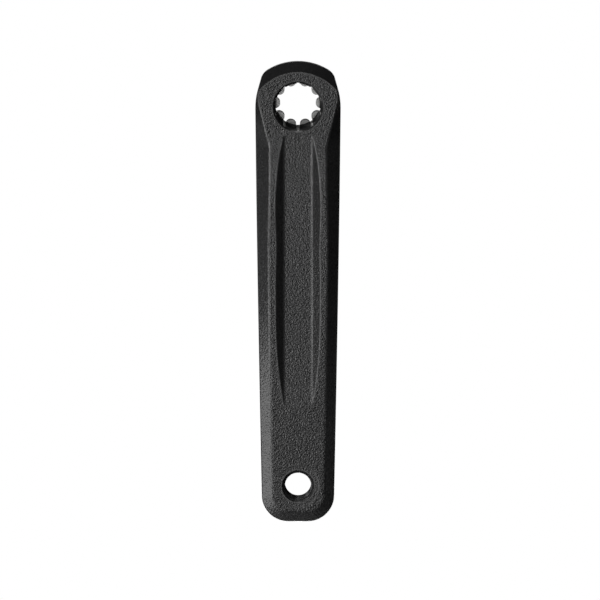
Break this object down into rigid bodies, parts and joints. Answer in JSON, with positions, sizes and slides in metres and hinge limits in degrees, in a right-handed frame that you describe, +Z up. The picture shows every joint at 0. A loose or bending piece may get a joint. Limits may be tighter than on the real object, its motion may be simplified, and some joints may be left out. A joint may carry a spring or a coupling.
{
  "type": "bicycle crank arm",
  "caption": "Bent forged crank arm: splined spindle socket with an extractor thread at the hub, a recessed outer panel, long chamfers and a threaded pedal eye.",
  "frame": {"origin": "centre of the spindle socket's mouth, on the boss's end face", "axes": "+Z up along the arm from the pedal eye to the hub, +Y inboard along the spindle, the outer face looks towards -Y"},
  "size_m": [0.0384, 0.0403, 0.2055],
  "materials": {
    "black_alloy": "fine-grained satin black on forged alloy, bare metal in the spindle socket"
  },
  "bodies": {
    "root": {"crank_arm": "black_alloy"}
  },
  "joints": []
}
